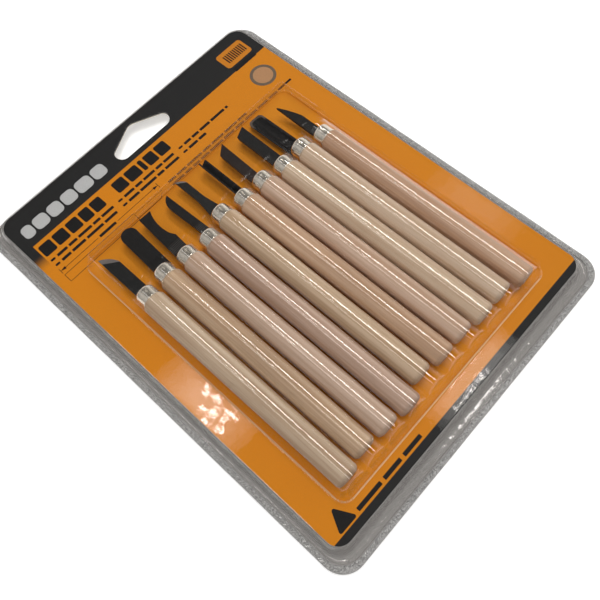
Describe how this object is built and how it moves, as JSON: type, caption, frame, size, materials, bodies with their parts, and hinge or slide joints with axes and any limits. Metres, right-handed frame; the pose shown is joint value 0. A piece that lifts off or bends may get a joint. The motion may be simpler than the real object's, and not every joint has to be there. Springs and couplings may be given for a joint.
{
  "type": "set of ten carving knives in a clear pack",
  "caption": "Wood-handled carving knives with dark shaped blades, side by side on a printed card in a clear ribbed clamshell pack with a hang hole.",
  "frame": {"origin": "centre of the pack's outline, on the back of the flange that the pack lies on", "axes": "+Z out of the printed face, +Y from the handle ends to the hang hole, +X across the row of tools"},
  "size_m": [0.1626, 0.211, 0.0177],
  "materials": {
    "clear_sheet": "clear thermoformed sheet, glossy",
    "clear_sheet_back": "clear thermoformed sheet, glossy",
    "printed_card": "coated card, orange and black print",
    "handle_wood": "sanded pale wood, unvarnished",
    "ferrule_steel": "bright nickel plate, drawn cup",
    "blade_steel": "blackened steel, ground edges"
  },
  "bodies": {
    "pack_back": {"back_shell": "clear_sheet_back", "insert_card": "printed_card"},
    "pack_front": {"front_shell": "clear_sheet"},
    "tool_01": {"handle_01": "handle_wood", "ferrule_01": "ferrule_steel", "blade_01": "blade_steel"},
    "tool_02": {"handle_02": "handle_wood", "ferrule_02": "ferrule_steel", "blade_02": "blade_steel"},
    "tool_03": {"handle_03": "handle_wood", "ferrule_03": "ferrule_steel", "blade_03": "blade_steel"},
    "tool_04": {"handle_04": "handle_wood", "ferrule_04": "ferrule_steel", "blade_04": "blade_steel"},
    "tool_05": {"handle_05": "handle_wood", "ferrule_05": "ferrule_steel", "blade_05": "blade_steel"},
    "tool_06": {"handle_06": "handle_wood", "ferrule_06": "ferrule_steel", "blade_06": "blade_steel"},
    "tool_07": {"handle_07": "handle_wood", "ferrule_07": "ferrule_steel", "blade_07": "blade_steel"},
    "tool_08": {"handle_08": "handle_wood", "ferrule_08": "ferrule_steel", "blade_08": "blade_steel"},
    "tool_09": {"handle_09": "handle_wood", "ferrule_09": "ferrule_steel", "blade_09": "blade_steel"},
    "tool_10": {"handle_10": "handle_wood", "ferrule_10": "ferrule_steel", "blade_10": "blade_steel"}
  },
  "joints": [
    {"name": "front_shell_fold", "type": "hinge", "parent": "pack_back", "child": "pack_front", "pos_m": [0, 0.1055, 0.00052], "axis": [-1, 0, 0], "range_deg": [0, 160]},
    {"name": "tool_01_slide", "type": "slide", "parent": "pack_back", "child": "tool_01", "axis": [0, 1, 0], "range_m": [-0.0016, 0.0033]},
    {"name": "tool_02_slide", "type": "slide", "parent": "pack_back", "child": "tool_02", "axis": [0, 1, 0], "range_m": [-0.0037, 0.0014]},
    {"name": "tool_03_slide", "type": "slide", "parent": "pack_back", "child": "tool_03", "axis": [0, 1, 0], "range_m": [-0.0025, 0.0026]},
    {"name": "tool_04_slide", "type": "slide", "parent": "pack_back", "child": "tool_04", "axis": [0, 1, 0], "range_m": [-0.0011, 0.0026]},
    {"name": "tool_05_slide", "type": "slide", "parent": "pack_back", "child": "tool_05", "axis": [0, 1, 0], "range_m": [-0.0057, 0.0003]},
    {"name": "tool_06_slide", "type": "slide", "parent": "pack_back", "child": "tool_06", "axis": [0, 1, 0], "range_m": [-0.0039, 0.0018]},
    {"name": "tool_07_slide", "type": "slide", "parent": "pack_back", "child": "tool_07", "axis": [0, 1, 0], "range_m": [-0.004, 0.0017]},
    {"name": "tool_08_slide", "type": "slide", "parent": "pack_back", "child": "tool_08", "axis": [0, 1, 0], "range_m": [-0.0025, 0.0022]},
    {"name": "tool_09_slide", "type": "slide", "parent": "pack_back", "child": "tool_09", "axis": [0, 1, 0], "range_m": [-0.0027, 0.001]},
    {"name": "tool_10_slide", "type": "slide", "parent": "pack_back", "child": "tool_10", "axis": [0, 1, 0], "range_m": [0, 0.0069]}
  ]
}
